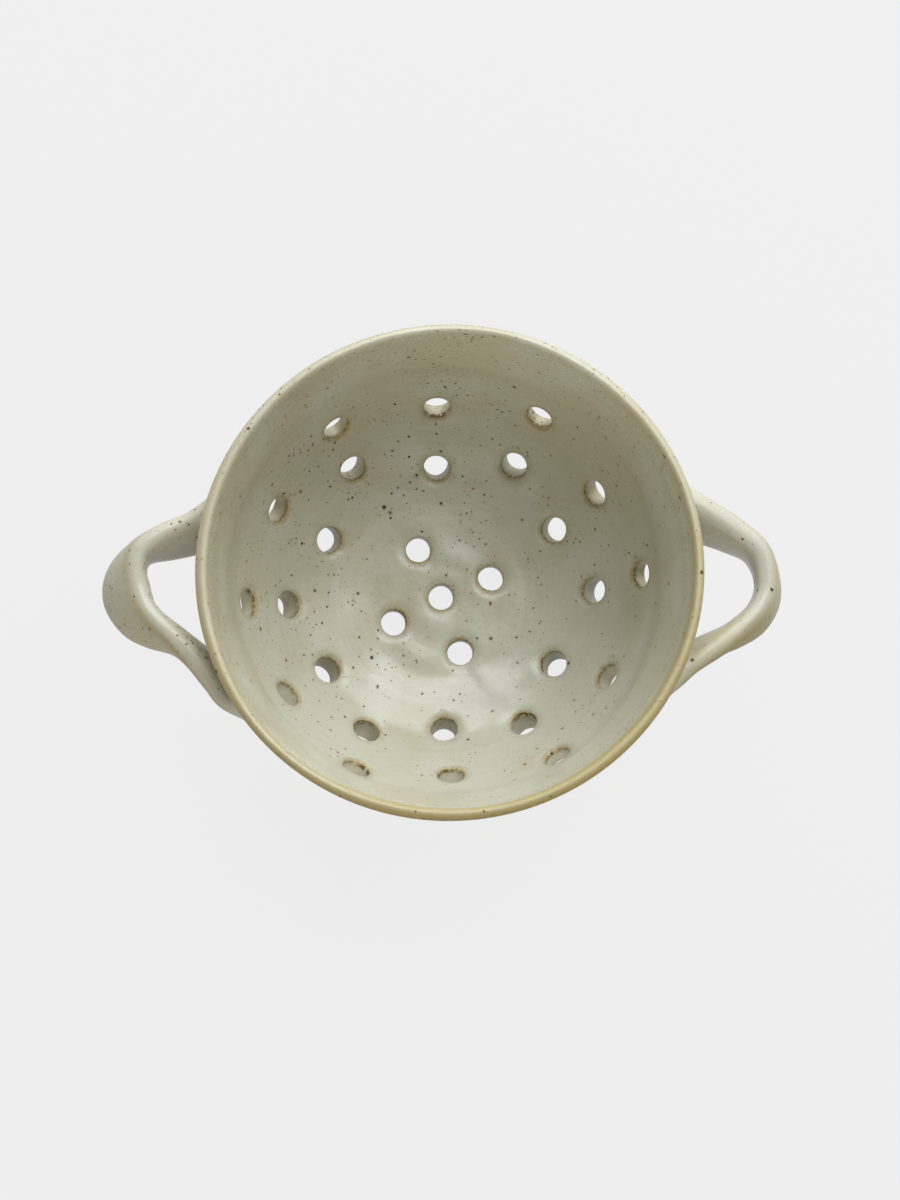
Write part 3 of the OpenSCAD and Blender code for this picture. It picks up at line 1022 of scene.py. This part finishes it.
def way(turn_degrees, height_degrees):
    """The direction that lies so far round from +X and so far up, in degrees."""
    turn, height = math.radians(turn_degrees), math.radians(height_degrees)
    return Vector((math.cos(height) * math.cos(turn), math.cos(height) * math.sin(turn), math.sin(height)))


# The pale walls of the room, each as its way round from +X and up, in degrees, and its strength
walls = [(45, 12, 1.75), (90, 12, 1.2), (135, 12, 0.5), (225, 12, 0.62), (270, 12, 1.9)]
wall_spread = 6

# The camera sees the room evenly pale too, and the walls light only the bowl and the table
room_shown_light = 0.86
room_tint = (1, 0.955, 0.88, 1)
room_shown_tint = (1, 1, 1, 1)

world = bpy.data.worlds.new("pale room")
world.use_nodes = True
room = world.node_tree
facing_way = add(room, "ShaderNodeTexCoord").outputs["Generated"]
glow = 0.0
for turn_degrees, height_degrees, wall_strength in walls:
    toward = add(room, "ShaderNodeVectorMath", {"operation": "DOT_PRODUCT"}, Vector=facing_way)
    toward.inputs[1].default_value = way(turn_degrees, height_degrees)
    lobe = reckon(room, "POWER", reckon(room, "MAXIMUM", toward.outputs["Value"], 0.0), wall_spread)
    glow = reckon(room, "MULTIPLY_ADD", lobe, wall_strength, glow)
seen = add(room, "ShaderNodeLightPath").outputs["Is Camera Ray"]
strength = add(room, "ShaderNodeMix", Factor=seen, A=glow, B=room_shown_light).outputs["Result"]
room.links.new(strength, room.nodes["Background"].inputs["Strength"])
tint = blend_colour(room, seen, room_tint, room_shown_tint)
room.links.new(tint, room.nodes["Background"].inputs["Color"])
bpy.context.scene.world = world


# Each window as its name, its way round from +X and up in degrees, its width and drop in metres, its power
# and its tint
window_distance = 1.5
cool, plain = (0.96, 1, 1.08), (0.99, 1, 1.02)
windows = [
    ("window", 80, 45, 1.1, 1.1, 10.2, cool), ("side window", 45, 45, 0.9, 0.9, 2.7, cool),
    ("lower window", 100, 25, 0.7, 0.7, 3.6, cool), ("skylight", 25, 68, 0.9, 0.9, 2.8, plain),
    ("high window", 84, 67, 0.8, 0.28, 3.4, plain)]


def soft_light(name, turn_degrees, height_degrees, width, drop, power, colour):
    """A soft oblong light that faces the bowl from a way round and up, in degrees."""
    lamp = bpy.data.lights.new(name, "AREA")
    lamp.shape = "RECTANGLE"
    lamp.size = width
    lamp.size_y = drop
    lamp.energy = power
    lamp.color = colour
    light = bpy.data.objects.new(name, lamp)
    middle = Vector((0, 0, rim_height / 2))
    light.location = middle + window_distance * way(turn_degrees, height_degrees)
    light.rotation_euler = (middle - light.location).to_track_quat("-Z", "Y").to_euler()
    bpy.context.scene.collection.objects.link(light)


for window in windows:
    soft_light(*window)

# The camera fitted to the photograph: its distance from the middle of the rim that it faces, its tilt from
# straight down, its turn, and where in the picture the middle of the rim lies
camera_distance = 0.45
camera_tilt = math.radians(9.93)
camera_turn = math.radians(-19.26)
focal_pixels = 1431
picture_width, picture_height = 900, 1200
aim_x, aim_y = 452.7, 564.4
sensor = 36

away = Vector((math.sin(camera_tilt) * math.sin(camera_turn), -math.sin(camera_tilt) * math.cos(camera_turn),
               math.cos(camera_tilt)))
level = Vector((math.cos(camera_turn), math.sin(camera_turn), 0))
upright = level.cross(-away)
c, s = math.cos(-camera_turn), math.sin(-camera_turn)
right, top = c * level + s * upright, c * upright - s * level
lens = bpy.data.cameras.new("camera")
lens.sensor_width = sensor
lens.lens = focal_pixels / picture_height * sensor
lens.shift_x = -(aim_x - picture_width / 2) / picture_height
lens.shift_y = (aim_y - picture_height / 2) / picture_height
lens.clip_start = 0.01
camera = bpy.data.objects.new("camera", lens)
camera.matrix_world = Matrix.Translation(Vector((0, 0, rim_height)) + camera_distance * away) @ Matrix(
    (right, top, away)).transposed().to_4x4()
bpy.context.scene.collection.objects.link(camera)
bpy.context.scene.camera = camera
bpy.context.scene.view_settings.view_transform = "Standard"
